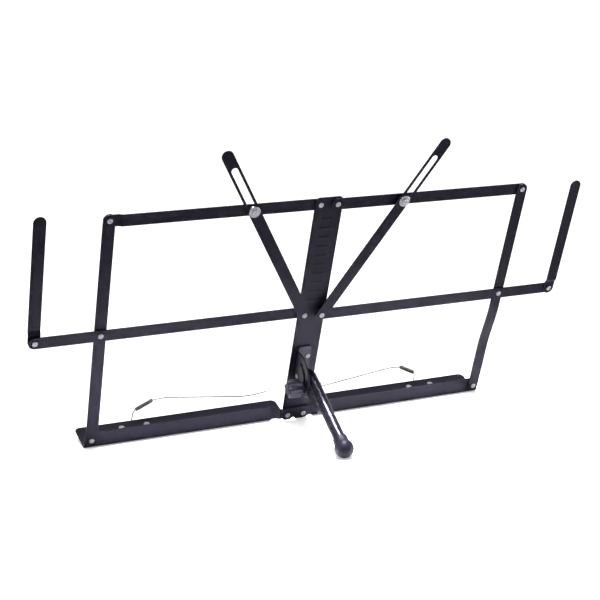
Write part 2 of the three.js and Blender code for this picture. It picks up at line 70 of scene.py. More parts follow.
def desk_box(node):
    """Lowest and highest corners of a CAD node in the desk's frame, in millimetres."""
    corners = [TO_DESK @ v.co for v in frame["nodes"][node].data.vertices]
    low = Vector([min(c[i] for c in corners) for i in range(3)])
    high = Vector([max(c[i] for c in corners) for i in range(3)])
    return low, high


PIVOT_X = desk_point("fold_right").x
MID_Z = desk_point("middle_bar_right_turn").z
TOP_Z = desk_point("top_bar_right_turn").z
LINK = desk_point("upright_right_turn").x - PIVOT_X
ARM_X = desk_point("side_arm_right_swing").x
TILT = desk_point("stem_tilt")
BOLT = desk_point("knob_turn")
STUD_X = (desk_box("brace_washer_right")[0].x + desk_box("brace_washer_right")[1].x) / 2
HALF = (desk_box("middle_bar_right")[1].z - desk_box("middle_bar_right")[0].z) / 2
SHEET = desk_box("middle_bar_right")[1].y - desk_box("middle_bar_right")[0].y
EDGE = 0.22                      # rounding of a stamped edge
HOLE = 1.9                       # radius of a rivet hole
ROUND = 14                       # steps in a quarter turn of an outline
CORNER_JOGGLE = (13.0, 8.0)      # where the right top bar changes layer, back from its corner pivot
UPRIGHT_JOGGLE = (55.0, 110.0)   # where the left upright changes layer, up from its ledge pivot
ARM_JOGGLE = (7.5, 12.5)         # where a side arm changes layer, up from its pivot


# ---- materials ---------------------------------------------------------------------------------
class Shader:
    """A Principled material with a few procedural layers, in metres of the row's frame."""

    def __init__(self, name, **constants):
        self.material = bpy.data.materials.new(name)
        self.material.use_nodes = True
        self.tree = self.material.node_tree
        self.shader = self.tree.nodes["Principled BSDF"]
        self.place = self.tree.nodes.new("ShaderNodeTexCoord").outputs["Object"]
        self.normal = None
        for socket, value in constants.items():
            self.shader.inputs[socket.replace("_", " ")].default_value = value

    def noise(self, scale, detail=3.0, roughness=0.55):
        node = self.tree.nodes.new("ShaderNodeTexNoise")
        node.inputs["Scale"].default_value = scale
        node.inputs["Detail"].default_value = detail
        node.inputs["Roughness"].default_value = roughness
        self.tree.links.new(self.place, node.inputs["Vector"])
        return node.outputs["Fac"]

    def ramp(self, factor, low, high, start=0.35, end=0.65):
        node = self.tree.nodes.new("ShaderNodeMapRange")
        node.inputs["From Min"].default_value = start
        node.inputs["From Max"].default_value = end
        node.inputs["To Min"].default_value = low
        node.inputs["To Max"].default_value = high
        self.tree.links.new(factor, node.inputs["Value"])
        return node.outputs["Result"]

    def colours(self, factor, first, second):
        node = self.tree.nodes.new("ShaderNodeMix")
        node.data_type = "RGBA"
        node.inputs["A"].default_value = (*first, 1)
        node.inputs["B"].default_value = (*second, 1)
        self.tree.links.new(factor, node.inputs["Factor"])
        self.tree.links.new(node.outputs["Result"], self.shader.inputs["Base Color"])

    def roughness(self, factor, low, high):
        self.tree.links.new(self.ramp(factor, low, high), self.shader.inputs["Roughness"])

    def bump(self, factor, height, strength=1.0):
        node = self.tree.nodes.new("ShaderNodeBump")
        node.inputs["Distance"].default_value = height
        node.inputs["Strength"].default_value = strength
        self.tree.links.new(factor, node.inputs["Height"])
        if self.normal:
            self.tree.links.new(self.normal, node.inputs["Normal"])
        self.normal = node.outputs["Normal"]
        self.tree.links.new(self.normal, self.shader.inputs["Normal"])


# Every black finish throws back a faintly violet sheen.
COOL = (0.72, 0.66, 1, 1)


def powder_coat():
    """Black satin powder coat: a fine orange peel and slow drifts of tone and gloss."""
    look = Shader("black_powder_coat", Metallic=0.0, IOR=1.5, Specular_IOR_Level=0.06, Specular_Tint=COOL)
    drift = look.noise(28, 4)
    look.colours(look.ramp(drift, 0, 1), (0.002, 0.0017, 0.0033), (0.0035, 0.0029, 0.0053))
    look.roughness(look.noise(160, 5), 0.36, 0.5)
    look.bump(look.noise(1500, 3), 0.00004, 0.7)
    look.bump(look.noise(5200, 2), 0.000012, 0.5)
    return look.material


def gloss_paint(name, rough, level):
    """Black stoved gloss, as on the stem tube and the tilt bracket, with a faint waviness."""
    look = Shader(name, Metallic=0.0, IOR=1.52, Specular_IOR_Level=level, Specular_Tint=COOL)
    look.colours(look.ramp(look.noise(40, 3), 0, 1), (0.0024, 0.0021, 0.0036), (0.0043, 0.0038, 0.006))
    look.roughness(look.noise(220, 4), rough, rough + 0.07)
    look.bump(look.noise(700, 2), 0.000012, 0.25)
    return look.material


def plated(name, light, dark, rough, scale=700):
    """Plated or bare bright steel with a fine cloudy grain."""
    look = Shader(name, Metallic=1.0)
    look.colours(look.ramp(look.noise(scale, 5, 0.7), 0, 1, 0.3, 0.7), light, dark)
    look.roughness(look.noise(scale * 1.7, 4), rough, rough + 0.16)
    look.bump(look.noise(scale * 3, 4, 0.7), 0.000018, 0.6)
    return look.material


def moulded_plastic():
    """Spark-eroded black plastic: a fine matt grain over a slightly shiny skin."""
    look = Shader("knob_moulding", Metallic=0.0, IOR=1.48, Specular_IOR_Level=0.25, Specular_Tint=COOL)
    look.colours(look.ramp(look.noise(90, 4), 0, 1), (0.0052, 0.0048, 0.0076), (0.0082, 0.0076, 0.0112))
    look.roughness(look.noise(600, 4), 0.42, 0.56)
    look.bump(look.noise(4200, 3, 0.7), 0.00003, 0.8)
    return look.material


def black_rubber():
    """Moulded rubber with a dull bloom and a soft grain."""
    look = Shader("foot_rubber", Metallic=0.0, IOR=1.46, Specular_IOR_Level=0.15, Specular_Tint=COOL)
    bloom = look.ramp(look.noise(120, 5, 0.6), 0, 1)
    look.colours(bloom, (0.0016, 0.0014, 0.0024), (0.0034, 0.0031, 0.0046))
    look.roughness(look.noise(300, 4), 0.46, 0.62)
    look.bump(look.noise(2600, 4, 0.65), 0.00004, 0.8)
    return look.material


PAINT = powder_coat()
GLOSS = gloss_paint("black_gloss_tube", 0.26, 0.15)
BRACKET_GLOSS = gloss_paint("black_gloss_bracket", 0.28, 0.12)
ZINC = plated("zinc_plate", (0.24, 0.235, 0.255), (0.13, 0.13, 0.145), 0.3)
WIRE_STEEL = plated("spring_wire", (0.13, 0.128, 0.122), (0.07, 0.07, 0.068), 0.3)
PLASTIC = moulded_plastic()
RUBBER = black_rubber()


# ---- mesh helpers ------------------------------------------------------------------------------
def arc(x, y, radius, start, end, steps=ROUND):
    """Points on an arc, in degrees, the ends included."""
    angles = [math.radians(start + (end - start) * i / steps) for i in range(steps + 1)]
    return [(x + radius * math.cos(a), y + radius * math.sin(a)) for a in angles]


def pill(x0, x1, half):
    """A slot or bar outline with half-round ends about two centres."""
    return arc(x1, 0, half, -90, 90, 2 * ROUND) + arc(x0, 0, half, 90, 270, 2 * ROUND)


def circle(x, y, radius):
    return arc(x, y, radius, 0, 360, 3 * ROUND)[:-1]


def rounded(x0, y0, x1, y1, r):
    """A rectangle with round corners."""
    points = arc(x0 + r, y0 + r, r, 180, 270) + arc(x1 - r, y0 + r, r, 270, 360)
    return points + arc(x1 - r, y1 - r, r, 0, 90) + arc(x0 + r, y1 - r, r, 90, 180)


def blank(outline, holes=(), thick=SHEET, edge=EDGE):
    """A stamped blank with rolled edges, in its own flat x and y, its middle layer at z = 0."""
    curve = bpy.data.curves.new("blank", "CURVE")
    curve.dimensions = "2D"
    curve.fill_mode = "BOTH"
    curve.extrude = thick / 2 - edge
    curve.bevel_depth = edge
    curve.bevel_resolution = 2
    curve.offset = -edge
    for loop in [outline, *holes]:
        spline = curve.splines.new("POLY")
        spline.points.add(len(loop) - 1)
        for point, (x, y) in zip(spline.points, loop):
            point.co = (x, y, 0, 1)
        spline.use_cyclic_u = True
    shape = bpy.data.objects.new("blank", curve)
    bpy.context.scene.collection.objects.link(shape)
    bpy.context.view_layer.update()
    mesh = bpy.data.meshes.new_from_object(shape.evaluated_get(bpy.context.evaluated_depsgraph_get()))
    bpy.data.objects.remove(shape)
    bm = bmesh.new()
    bm.from_mesh(mesh)
    bpy.data.meshes.remove(mesh)
    bmesh.ops.remove_doubles(bm, verts=bm.verts[:], dist=1e-4)
    return bm


def slice_across(bm, axis, values):
    """Extra cuts where the sheet is going to bend."""
    normal = Vector([1.0 if i == axis else 0.0 for i in range(3)])
    for value in values:
        everything = bm.verts[:] + bm.edges[:] + bm.faces[:]
        bmesh.ops.bisect_plane(bm, geom=everything, dist=1e-5, plane_co=normal * value, plane_no=normal)


def spread(low, high, count):
    return [low + (high - low) * i / count for i in range(count + 1)]


def shape_by(bm, place):
    for v in bm.verts:
        v.co = place(v.co)
    return bm


def smoothstep(t):
    t = min(max(t, 0.0), 1.0)
    return t * t * (3 - 2 * t)


def piece(name, bm, material, body, nodes, sharp=32):
    """A finished piece from a mesh in the desk's frame, standing for its CAD nodes on their body."""
    bmesh.ops.recalc_face_normals(bm, faces=bm.faces[:])
    bm.transform(TO_ROW)
    mesh = bpy.data.meshes.new(name)
    bm.to_mesh(mesh)
    bm.free()
    mesh.polygons.foreach_set("use_smooth", [True] * len(mesh.polygons))
    mesh.set_sharp_from_angle(angle=math.radians(sharp))
    mesh.materials.append(material)
    shape = bpy.data.objects.new(name, mesh)
    bpy.context.scene.collection.objects.link(shape)
    even = shape.modifiers.new("even_normals", "WEIGHTED_NORMAL")
    even.keep_sharp = True
    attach(shape, body)
    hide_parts(*nodes)


def revolve(profile, segments=48):
    """A closed solid from (radius, height) pairs, which start and end on the axis or come full circle."""
    bm = bmesh.new()
    rings = []
    for radius, height in profile:
        if radius < 1e-6:
            rings.append([bm.verts.new((0, 0, height))])
            continue
        turn = [2 * math.pi * i / segments for i in range(segments)]
        rings.append([bm.verts.new((radius * math.cos(a), radius * math.sin(a), height)) for a in turn])
    for low, high in zip(rings, rings[1:]):
        for i in range(segments):
            j = (i + 1) % segments
            corners = [low[i % len(low)], low[j % len(low)], high[j % len(high)], high[i % len(high)]]
            if len(set(corners)) > 2:
                bm.faces.new(list(dict.fromkeys(corners)))
    bmesh.ops.remove_doubles(bm, verts=bm.verts[:], dist=1e-5)
    return bm


def along_y(x, z):
    return lambda c: Vector((x + c.x, c.z, z + c.y))


def along_z(x, y):
    return lambda c: Vector((x + c.x, y + c.y, c.z))


def along_x(y, z):
    return lambda c: Vector((c.z, y + c.x, z + c.y))


def centre(node, axis):
    low, high = desk_box(node)
    return (low[axis] + high[axis]) / 2


def layer_at(node, x, z, reach=8.0):
    """The middle of a CAD sheet's thickness near a point of the desk."""
    points = [TO_DESK @ v.co for v in frame["nodes"][node].data.vertices]
    near = [p.y for p in points if math.hypot(p.x - x, p.z - z) < reach]
    return (min(near) + max(near)) / 2


# ---- bars --------------------------------------------------------------------------------------
def strip(node, start, direction, length, holes, slot=None, joggle=None):
    """A flat bar with round ends; joggle gives the two distances between which it changes layer."""
    across = Vector((-direction.z, 0, direction.x))
    far = start + direction * length
    first, last = (layer_at(node, p.x, p.z) for p in (start, far))
    loops = [circle(d, 0, HOLE) for d in holes]
    if slot:
        loops.append(pill(*slot))
    bm = blank(pill(0, length, HALF), loops)
    if joggle:
        slice_across(bm, 0, spread(*joggle, 14))
    low, high = joggle or (0, length)

    def place(c):
        y = first + (last - first) * smoothstep((c.x - low) / (high - low)) + c.z
        return start + direction * c.x + across * c.y + Vector((0, y, 0))

    piece(f"{node}_steel", shape_by(bm, place), PAINT, node, [node])


def brace_slot(node, start, direction):
    """The slot's two end centres and half width, read from the CAD brace."""
    across = Vector((-direction.z, 0, direction.x))
    points = [TO_DESK @ v.co - start for v in frame["nodes"][node].data.vertices]
    pairs = [(p.dot(direction), abs(p.dot(across))) for p in points]
    past_pivot, inner_half = 30.0, 0.6 * HALF
    inside = [(d, w) for d, w in pairs if d > past_pivot and w < inner_half]
    half = max(w for _, w in inside)
    tip = max(d for d, _ in pairs) - HALF
    return min(d for d, _ in inside) + half, max(d for d, _ in inside if d < tip) - half, half


def bars(name, side):
    x = side * PIVOT_X
    outward = Vector((side, 0, 0))
    up = Vector((0, 0, 1))
    stud = STUD_X - PIVOT_X
    arm = ARM_X - PIVOT_X
    bend = [LINK - back for back in CORNER_JOGGLE] if name == "right" else None
    strip(f"top_bar_{name}", Vector((x, 0, TOP_Z)), outward, LINK, [0, stud, LINK], joggle=bend)
    strip(f"middle_bar_{name}", Vector((x, 0, MID_Z)), outward, arm, [0, LINK, arm])
    foot = Vector((side * (PIVOT_X + LINK), 0, 0))
    bend = UPRIGHT_JOGGLE if name == "left" else None
    strip(f"upright_{name}", foot, up, TOP_Z, [0, MID_Z, TOP_Z], joggle=bend)
    node = f"brace_{name}"
    start = Vector((x, 0, MID_Z))
    direction = Vector((side * stud, 0, TOP_Z - MID_Z)).normalized()
    tip = max((TO_DESK @ v.co - start).dot(direction) for v in frame["nodes"][node].data.vertices)
    strip(node, start, direction, tip - HALF, [0], slot=brace_slot(node, start, direction))
    node = f"side_arm_{name}"
    length = desk_box(node)[1].z - HALF - MID_Z
    strip(node, Vector((side * ARM_X, 0, MID_Z)), up, length, [0], joggle=ARM_JOGGLE)


# ---- page ledges -------------------------------------------------------------------------------
BEND = 1.7                       # bend radius of the folded sheet, at its middle layer
BEND_HALF = BEND * math.pi / 4   # half of the developed length of a right angle


def folded(t, n, wall, floor):
    """A point of a sheet folded from a standing wall into a floor that runs to the reader: (y, z)."""
    y, z = wall - BEND, floor + BEND
    if t > BEND_HALF:
        return wall + n, z + t - BEND_HALF
    if t < -BEND_HALF:
        return y + t + BEND_HALF, floor - n
    a = (BEND_HALF - t) / BEND
    return y + (BEND + n) * math.cos(a), z - (BEND + n) * math.sin(a)


def page_ledge(name, side):
    """An L section with a cranked tab that carries the pivot, cut from one blank and folded."""
    node = f"ledge_{name}"
    low, high = desk_box(node)
    outer = max(abs(low.x), abs(high.x))
    wall = layer_at(node, side * (PIVOT_X + LINK), 0)
    tab = layer_at(node, side * PIVOT_X, 0)
    floor = low.z + SHEET / 2
    level = lambda z: z - floor - BEND + BEND_HALF
    front = -(wall - BEND - low.y + BEND_HALF)
    top = level(high.z)
    neck, crank = 24.0, (17.0, 23.0)
    relief = -BEND_HALF - 1.0
    start = shelf_start(node, side)
    corner = 6.0
    outline = arc(start + corner, front + corner, corner, 180, 270)
    outline += arc(outer - corner, front + corner, corner, 270, 360)
    outline += arc(outer - corner, top - corner, corner, 0, 90)
    outline += arc(neck + 7, top - 5, 5, 90, 140) + arc(neck - 3, level(HALF) + 3, 3, 320, 270)
    outline += arc(PIVOT_X, level(0), HALF, 90, 270, 2 * ROUND)
    outline += [(neck, level(-HALF)), (neck, relief), (start, relief)]
    holes = [circle(PIVOT_X, level(0), HOLE), circle(PIVOT_X + LINK, level(0), HOLE)]
    for i in (1, 2):
        rivet_x = abs(centre(f"clamp_rivet_{name}_{i}", 0))
        rivet_y = centre(f"clamp_rivet_{name}_{i}", 1)
        holes.append(circle(rivet_x, rivet_y - wall + BEND - BEND_HALF, HOLE))
    bm = blank(outline, holes)
    slice_across(bm, 0, spread(*crank, 10))
    slice_across(bm, 1, spread(-BEND_HALF, BEND_HALF, 8))

    def place(c):
        cranked = smoothstep((crank[1] - c.x) / (crank[1] - crank[0]))
        shift = (tab - wall) * cranked if c.y > -BEND_HALF else 0
        y, z = folded(c.y, c.z, wall, floor)
        return Vector((side * c.x, y + shift, z))

    piece(f"{node}_steel", shape_by(bm, place), PAINT, node, [node])


def shelf_start(node, side):
    """How near the middle the ledge's floor begins."""
    low = desk_box(node)[0]
    points = [TO_DESK @ v.co for v in frame["nodes"][node].data.vertices]
    return min(side * p.x for p in points if p.y < low.y + 20)


# ---- centre plate, strap and bracket -----------------------------------------------------------
NOTCH_X, NOTCH_RADIUS = 2.0, 2.6
TOP_CORNER = 5                   # corner radius at the top of the plate and the strap


def notched(x0, x1, bottom, top, low_radius, high_radius):
    """A plate outline with a small half-round notch in its lower edge."""
    points = arc(x0 + low_radius, bottom + low_radius, low_radius, 180, 270)
    points += arc(NOTCH_X, bottom, NOTCH_RADIUS, 180, 0)
    points += arc(x1 - low_radius, bottom + low_radius, low_radius, 270, 360)
    points += arc(x1 - high_radius, top - high_radius, high_radius, 0, 90)
    return points + arc(x0 + high_radius, top - high_radius, high_radius, 90, 180)


def upright_sheet(y):
    return lambda c: Vector((c.x, y + c.z, c.y))


def centre_plate():
    low, high = desk_box("centre_plate")
    holes = [circle(side * PIVOT_X, z, HOLE) for side in (1, -1) for z in (0, MID_Z, TOP_Z)]
    for i in (1, 2):
        holes.append(circle(centre(f"bracket_rivet_{i}", 0), centre(f"bracket_rivet_{i}", 2), HOLE))
    middle = (low.y + high.y) / 2
    outline = notched(low.x, high.x, low.z, high.z, HALF, TOP_CORNER)
    bm = shape_by(blank(outline, holes), upright_sheet(middle))
    piece("centre_plate_steel", bm, PAINT, "plate", ["centre_plate"])
    piece("plate_pressed_ribs", pressed_ribs(high.y), PAINT, "plate", [])


def pressed_ribs(face):
    """Plain cross ribs pressed out of the plate's back, evenly spaced between the middle and top rivets."""
    half, reach, step, proud = 1.6, 5.2, 10.6, 0.4
    ribs = bmesh.new()
    z = MID_Z + 16
    while z < TOP_Z - 12:
        one = shape_by(blank(pill(-reach, reach, half), thick=2 * proud, edge=proud), upright_sheet(face))
        mesh = bpy.data.meshes.new("rib")
        shape_by(one, lambda c, z=z: c + Vector((0, 0, z))).to_mesh(mesh)
        ribs.from_mesh(mesh)
        one.free()
        bpy.data.meshes.remove(mesh)
        z += step
    return ribs


def pivot_strap():
    low, high = desk_box("pivot_strap")
    holes = [circle(side * PIVOT_X, 0, HOLE) for side in (1, -1)]
    bm = blank(notched(low.x, high.x, low.z, high.z, HALF, TOP_CORNER), holes)
    shape_by(bm, upright_sheet((low.y + high.y) / 2))
    piece("pivot_strap_steel", bm, PAINT, "plate", ["pivot_strap"])


EAR_SLOT = 18.0                  # radius of the arc slot's middle line
EAR_THICK = 1.5
SLOT_HALF = 2.6
SLOT_ENDS = (-13.0, 75.6)        # degrees above the desk's normal
EAR_ENDS = (-24.0, 96.0)
WEB_CORNER = 3


def arc_slot(x, y, radius, half, first, last):
    """The outline of a slot that follows an arc, with half-round ends."""
    slot = arc(x, y, radius + half, first, last, 2 * ROUND)
    end = arc(x, y, radius, last, last, 1)[0]
    slot += arc(*end, half, last, last + 180)[1:-1]
    slot += arc(x, y, radius - half, last, first, 2 * ROUND)
    end = arc(x, y, radius, first, first, 1)[0]
    return slot + arc(*end, half, first + 180, first + 360)[1:-1]


def tilt_bracket():
    """A web riveted to the plate, folded into one ear that carries the tilt pin and the arc slot."""
    low, high = desk_box("tilt_bracket")
    wall = high.x - EAR_THICK / 2
    web = low.y + EAR_THICK / 2
    root = web + BEND - BEND_HALF
    radius = high.y - TILT.y
    along = lambda x: x - wall + BEND - BEND_HALF
    outward = lambda y: y - root
    left = along(low.x)
    pin = outward(TILT.y)
    ear = arc(pin, TILT.z, radius, *EAR_ENDS, 4 * ROUND)
    outline = arc(left + WEB_CORNER, low.z + WEB_CORNER, WEB_CORNER, 180, 270)
    outline += [(-BEND_HALF, low.z), (0, low.z + 1.5)]
    outline += ear + [(0, TILT.z + radius - 0.6), (-BEND_HALF, high.z)]
    outline += arc(left + WEB_CORNER, high.z - WEB_CORNER, WEB_CORNER, 90, 180)
    slot = arc_slot(pin, TILT.z, EAR_SLOT, SLOT_HALF, *SLOT_ENDS)
    holes = [circle(pin, TILT.z, HOLE), slot]
    for i in (1, 2):
        holes.append(circle(along(centre(f"bracket_rivet_{i}", 0)), centre(f"bracket_rivet_{i}", 2), HOLE))
    bm = blank(outline, holes, thick=EAR_THICK)
    slice_across(bm, 0, spread(-BEND_HALF, BEND_HALF, 8))

    def place(c):
        s, n = c.x, c.z
        x, y = wall - BEND, web + BEND
        if s > BEND_HALF:
            return Vector((wall + n, y + s - BEND_HALF, c.y))
        if s < -BEND_HALF:
            return Vector((x + s + BEND_HALF, web - n, c.y))
        a = (BEND_HALF - s) / BEND
        return Vector((x + (BEND + n) * math.cos(a), y - (BEND + n) * math.sin(a), c.y))

    shape_by(bm, place)
    piece("tilt_bracket_steel", bm, BRACKET_GLOSS, "plate", ["tilt_bracket"])


# ---- turned fastenings -------------------------------------------------------------------------
HEAD_HEIGHT = 1.0
SHANK = 1.6                      # radius of a rivet's shank


def rivet_head(base, sign, radius, height):
    """The rolled head of a tubular rivet, from its rim on the sheet to the middle of its dimple."""
    rim = [(1.0, 0), (1.04, 0.28), (0.98, 0.62), (0.84, 0.84), (0.72, 0.95)]
    dimple = [(0.5, 1.0), (0.36, 0.92), (0.3, 0.62), (0.2, 0.45), (0, 0.4)]
    return [(radius * r, base + sign * height * h) for r, h in rim + dimple]


def rivet_profile(low, high, radius):
    """Both heads and the shank of a rivet between two heights, from its tail's middle to its head's."""
    tail = rivet_head(low + HEAD_HEIGHT, -1, radius, HEAD_HEIGHT)
    head = rivet_head(high - HEAD_HEIGHT, 1, radius, HEAD_HEIGHT)
    return tail[::-1] + [(SHANK, low + HEAD_HEIGHT), (SHANK, high - HEAD_HEIGHT)] + head


def rivet(node, body, axis=1):
    """A rivet along the desk's y, or its z."""
    low, high = desk_box(node)
    radius = (high.x - low.x) / 2
    bm = revolve(rivet_profile(low[axis], high[axis], radius), 40)
    x, y, z = (low + high) / 2
    place = along_y(x, z) if axis == 1 else along_z(x, y)
    piece(f"{node}_turned", shape_by(bm, place), ZINC, body, [node], sharp=50)


def ring(node, body, hole=HOLE, material=ZINC, axis=1):
    """A spacer or washer with broken edges, along the desk's y, or its x."""
    low, high = desk_box(node)
    radius = (high[1 - axis] - low[1 - axis]) / 2
    edge = min(0.25, (high[axis] - low[axis]) / 4)
    a, b = low[axis], high[axis]
    corner = 0.3 * edge
    profile = [(hole, a + edge), (hole + edge, a), (radius - edge, a), (radius - corner, a + corner)]
    profile += [(radius, a + edge), (radius, b - edge), (radius - corner, b - corner), (radius - edge, b)]
    profile += [(hole + edge, b), (hole, b - edge), (hole, a + edge)]
    bm = revolve(profile, 48)
    x, y, z = (low + high) / 2
    place = along_y(x, z) if axis == 1 else along_x(y, z)
    piece(f"{node}_turned", shape_by(bm, place), material, body, [node], sharp=50)


def fastenings(name):
    for label in ("ledge", "middle", "top"):
        rivet(f"{label}_pivot_rivet_{name}", "plate")
    rivet(f"ledge_end_rivet_{name}", f"ledge_{name}")
    rivet(f"top_corner_rivet_{name}", f"top_bar_{name}")
    rivet(f"crossing_rivet_{name}", f"middle_bar_{name}")
    rivet(f"arm_rivet_{name}", f"middle_bar_{name}")
    for i in (1, 2):
        rivet(f"clamp_rivet_{name}_{i}", f"ledge_{name}", axis=2)
    ring(f"brace_spacer_{name}", f"top_bar_{name}")
    brace_stud(name)


def brace_stud(name):
    """The washer and the rolled stud head that hold a brace down, in one turning."""
    node = f"brace_washer_{name}"
    low, high = desk_box(node)
    radius = (high.x - low.x) / 2
    base, top = low.y, low.y + 0.9
    head = 3.1
    profile = [(0, base), (radius - 0.3, base), (radius, base + 0.25), (radius, top - 0.3)]
    profile += [(radius - 0.4, top - 0.06), (radius - 0.8, top)]
    profile += [(head + 0.5, top - 0.08), (head + 0.05, top - 0.02)]
    profile += rivet_head(top - 0.05, 1, head, high.y - top)
    bm = shape_by(revolve(profile, 56), along_y((low.x + high.x) / 2, (low.z + high.z) / 2))
    piece(f"{node}_turned", bm, ZINC, f"top_bar_{name}", [node], sharp=45)


# ---- page holders ------------------------------------------------------------------------------
WIRE = 0.6                       # radius of the wire
COIL = 2.4                       # outer radius of the coil
TURNS = 15
CLAMP_CORNER = 3


def wire_clamp(name):
    node = f"wire_clamp_{name}"
    low, high = desk_box(node)
    rivets = [f"clamp_rivet_{name}_{i}" for i in (1, 2)]
    holes = [circle(centre(r, 0), centre(r, 1), HOLE) for r in rivets]
    bm = blank(rounded(low.x, low.y, high.x, high.y, CLAMP_CORNER), holes)
    shape_by(bm, lambda c: Vector((c.x, c.y, (low.z + high.z) / 2 + c.z)))
    piece(f"{node}_steel", bm, PAINT, f"ledge_{name}", [node])


def bent(points, radius, steps=6):
    """A path with each corner rounded off."""
    path = [points[0]]
    for before, corner, after in zip(points, points[1:], points[2:]):
        reach = min(radius, (before - corner).length / 2.2, (after - corner).length / 2.2)
        a = corner + (before - corner).normalized() * reach
        b = corner + (after - corner).normalized() * reach
        for i in range(steps + 1):
            t = i / steps
            path.append(a * (1 - t) ** 2 + corner * 2 * t * (1 - t) + b * t * t)
    path.append(points[-1])
    return path


def helix(start, end, radius, turns, per_turn=14):
    """Close turns of wire round the line from start to end, leaving and joining it smoothly."""
    axis = (end - start).normalized()
    side = axis.cross(Vector((0, 1, 0))).normalized()
    other = axis.cross(side)
    path = []
    count = turns * per_turn
    for i in range(count + 1):
        t = i / count
        a = 2 * math.pi * turns * t
        r = radius * smoothstep(min(t, 1 - t) * turns / 0.6)
        path.append(start.lerp(end, t) + side * (r * math.cos(a)) + other * (r * math.sin(a)))
    return path


def page_holder(name, side):
    """Spring wire: a root under the ledge, a rise, a close coil, and a long finger across the page."""
    node = f"page_holder_{name}"
    hinge = desk_point(f"page_holder_{name}_swing")
    high = desk_box(node)[1]
    x = abs(hinge.x)
    at = lambda along, height: Vector((side * along, hinge.y, height))
    root = Vector((side * x, high.y, hinge.z))
    coil = (at(x - 3, 3), at(x - 22, 13))
    rise = bent([root, hinge, at(x - 1, 0), coil[0]], 1.6)
    finger = bent([coil[1], at(x - 36, 14), at(40, 0), at(16, 3)], 16)
    path = rise[:-1] + helix(*coil, COIL - WIRE, TURNS) + finger[1:]
    curve = bpy.data.curves.new(node, "CURVE")
    curve.dimensions = "3D"
    curve.bevel_depth = WIRE
    curve.bevel_resolution = 3
    curve.use_fill_caps = True
    spline = curve.splines.new("POLY")
    spline.points.add(len(path) - 1)
    for point, co in zip(spline.points, path):
        point.co = (*co, 1)
    shape = bpy.data.objects.new(node + "_path", curve)
    bpy.context.scene.collection.objects.link(shape)
    bpy.context.view_layer.update()
    mesh = bpy.data.meshes.new_from_object(shape.evaluated_get(bpy.context.evaluated_depsgraph_get()))
    bpy.data.objects.remove(shape)
    bm = bmesh.new()
    bm.from_mesh(mesh)
    bpy.data.meshes.remove(mesh)
    bmesh.ops.remove_doubles(bm, verts=bm.verts[:], dist=1e-4)
    piece(f"{node}_wire", bm, WIRE_STEEL, node, [node], sharp=60)


# ---- stem --------------------------------------------------------------------------------------
STEM_DOWN = 16.6                 # degrees below the desk's normal
STEM_UP = 60.0                   # how far it turns up from there
STEM_RADIUS = 6.5
TUBE_WALL = 1.1
MITRE_GAP = 1.7                  # between the tube and the bracket's web with the stem fully up
LUG_GAP = 0.75                   # the same for the lug
LUG = (4.5, 7.95)                # its two faces
LUG_RADIUS = 6.6
LUG_END = 56                     # how far it reaches along the tube
LUG_BOLT_HOLE = 2.5


def stem_axis():
    """Where the stem's axis passes the tilt pin, its direction, and its upward side."""
    points = [TO_DESK @ v.co for v in frame["nodes"]["stem_foot"].data.vertices]
    down = math.radians(STEM_DOWN)
    along = Vector((0, math.cos(down), -math.sin(down)))
    up = Vector((0, math.sin(down), math.cos(down)))
    reach = [(p - TILT).dot(up) for p in points]
    return Vector((0, TILT.y, TILT.z)) + up * ((min(reach) + max(reach)) / 2), along, up


def on_axis(origin, along, up):
    return lambda c: origin + along * c.z + up * c.y + Vector((c.x, 0, 0))


def mitre(bm, gap):
    """Cuts off what would come nearer than the gap to the bracket's web with the stem fully up."""
    tilt = math.radians(STEM_DOWN + STEM_UP)
    towards_plate = Vector((0, -math.cos(tilt), math.sin(tilt)))
    clear = TILT.y - (desk_box("tilt_bracket")[0].y + EAR_THICK + gap)
    cut = Vector((0, TILT.y, TILT.z)) + towards_plate * clear
    result = bmesh.ops.bisect_plane(bm, geom=bm.verts[:] + bm.edges[:] + bm.faces[:], dist=1e-5,
                                    plane_co=cut, plane_no=towards_plate, clear_outer=True)
    rim = [e for e in result["geom_cut"] if isinstance(e, bmesh.types.BMEdge)]
    return bmesh.ops.contextual_create(bm, geom=rim)["faces"]


def stem_tube():
    """A tube with a mitred upper end, open below, and the lug beside it."""
    origin, along, up = stem_axis()
    end = max((TO_DESK @ v.co - origin).dot(along) for v in frame["nodes"]["stem_tube"].data.vertices)
    bore = STEM_RADIUS - TUBE_WALL
    profile = [(0, -8), (STEM_RADIUS, -8), (STEM_RADIUS, end - 0.3), (STEM_RADIUS - 0.3, end), (bore, end),
               (bore, end - 60), (0, end - 60)]
    bm = shape_by(revolve(profile, 72), on_axis(origin, along, up))
    edges = [e for f in mitre(bm, MITRE_GAP) for e in f.edges]
    bmesh.ops.bevel(bm, geom=edges, offset=0.5, segments=3, affect="EDGES", profile=0.6)
    add_lug(bm, origin, along, up)
    piece("stem_tube_steel", bm, GLOSS, "stem", ["stem_tube"], sharp=40)


